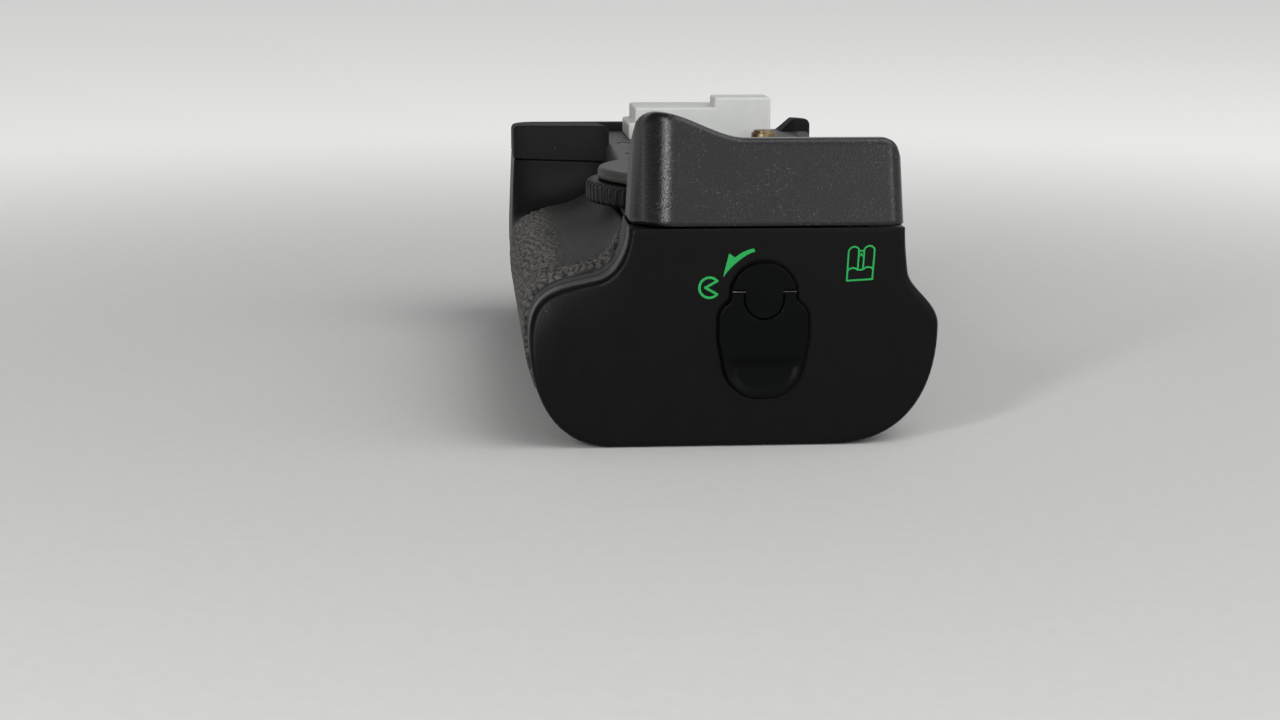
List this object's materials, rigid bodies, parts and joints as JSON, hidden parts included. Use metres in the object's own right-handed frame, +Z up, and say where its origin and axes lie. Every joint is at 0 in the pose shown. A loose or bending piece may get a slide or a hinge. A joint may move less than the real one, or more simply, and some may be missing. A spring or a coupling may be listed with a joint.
{
  "type": "camera battery grip",
  "caption": "Vertical battery grip that screws under a camera: sliding battery magazine with a folding turn latch, thumb-wheel screw, contact block and a second set of release controls.",
  "frame": {"origin": "mouth of the tripod socket in the base, on the camera screw's axis", "axes": "+X along the grip towards the magazine end, -Y towards the lens side, +Z up to the camera"},
  "size_m": [0.1566, 0.0752, 0.0595],
  "materials": {
    "cover_black": "satin moulded, fine grain",
    "frame_black": "moulded",
    "grip_rubber": "leather grain",
    "control_black": "satin moulded",
    "seal_rubber": "matt",
    "milky_cover": "milky translucent",
    "contact_gold": "plated",
    "brass": "turned",
    "steel": "plated",
    "board_green": "solder mask",
    "cell_wrap": "printed sleeve, left plain"
  },
  "bodies": {
    "housing": {"top_cover": "cover_black", "end_rim": "cover_black", "front_cover": "cover_black", "rear_cover": "cover_black", "base_plate": "cover_black", "control_end_cover": "cover_black", "battery_chamber": "frame_black", "near_frame": "frame_black", "far_frame": "frame_black", "front_grip_rubber": "grip_rubber", "thumb_rubber": "grip_rubber", "base_screws": "steel", "seat_screws": "steel", "contact_block": "frame_black", "locating_stud": "brass", "tripod_bush": "steel", "screw_washer": "steel", "chamber_terminals": "contact_gold", "control_board": "board_green", "release_bezel": "control_black", "release_switch": "steel", "dial_axle": "steel", "switch_plate": "control_black"},
    "magazine": {"magazine_tray": "frame_black", "magazine_cap": "cover_black", "cap_gasket": "seal_rubber", "cell_contacts": "steel", "magazine_terminals": "contact_gold", "cell_1": "cell_wrap", "cell_2": "cell_wrap", "cell_3": "cell_wrap", "cell_4": "cell_wrap", "cell_5": "cell_wrap", "cell_6": "cell_wrap", "cell_7": "cell_wrap", "cell_8": "cell_wrap"},
    "latch_turner": {"latch_disc": "control_black", "latch_pin": "steel", "latch_cam": "steel", "latch_clip": "steel"},
    "latch_lever": {"latch_handle": "control_black"},
    "screw_wheel": {"camera_screw": "steel", "attachment_wheel": "control_black"},
    "contact_cap": {"contact_cover": "milky_cover"},
    "sprung_contacts": {"contact_pins": "contact_gold"},
    "release": {"release_button": "control_black"},
    "dial": {"control_dial": "control_black"},
    "lock_key": {"exposure_lock_button": "control_black"},
    "focus_key": {"focus_point_button": "control_black"},
    "power_slider": {"vertical_switch": "control_black"}
  },
  "joints": [
    {"name": "magazine_slide", "type": "slide", "parent": "housing", "child": "magazine", "axis": [1, 0, 0], "range_m": [0, 0.13]},
    {"name": "latch_turn", "type": "hinge", "parent": "magazine", "child": "latch_turner", "pos_m": [0.066, 0.0027, 0.0275], "axis": [1, 0, 0], "range_deg": [0, 90]},
    {"name": "latch_flip", "type": "hinge", "parent": "latch_turner", "child": "latch_lever", "pos_m": [0.0673, 0.0027, 0.0282], "axis": [0, -1, 0], "range_deg": [0, 90]},
    {"name": "wheel_turn", "type": "hinge", "parent": "housing", "child": "screw_wheel", "pos_m": [0, 0, 0.039], "axis": [0, 0, 1], "continuous": true},
    {"name": "contact_cap_lift", "type": "slide", "parent": "housing", "child": "contact_cap", "axis": [0, 0, 1], "range_m": [0, 0.03]},
    {"name": "contacts_press", "type": "slide", "parent": "housing", "child": "sprung_contacts", "axis": [0, 0, -1], "range_m": [0, 0.0012], "stiffness_N_per_m": 900, "springref_m": -0.0005},
    {"name": "release_press", "type": "slide", "parent": "housing", "child": "release", "axis": [1, 0, 0], "range_m": [0, 0.0015], "stiffness_N_per_m": 900, "springref_m": -0.0005},
    {"name": "dial_turn", "type": "hinge", "parent": "housing", "child": "dial", "pos_m": [-0.0792, -0.0075, 0.024], "axis": [0, 1, 0], "continuous": true},
    {"name": "exposure_lock_press", "type": "slide", "parent": "housing", "child": "lock_key", "axis": [0, -1, 0], "range_m": [0, 0.0008], "stiffness_N_per_m": 900, "springref_m": -0.0005},
    {"name": "focus_point_press", "type": "slide", "parent": "housing", "child": "focus_key", "axis": [0, -1, 0], "range_m": [0, 0.0008], "stiffness_N_per_m": 900, "springref_m": -0.0005},
    {"name": "vertical_switch_slide", "type": "slide", "parent": "housing", "child": "power_slider", "axis": [1, 0, 0], "range_m": [0, 0.004]}
  ]
}
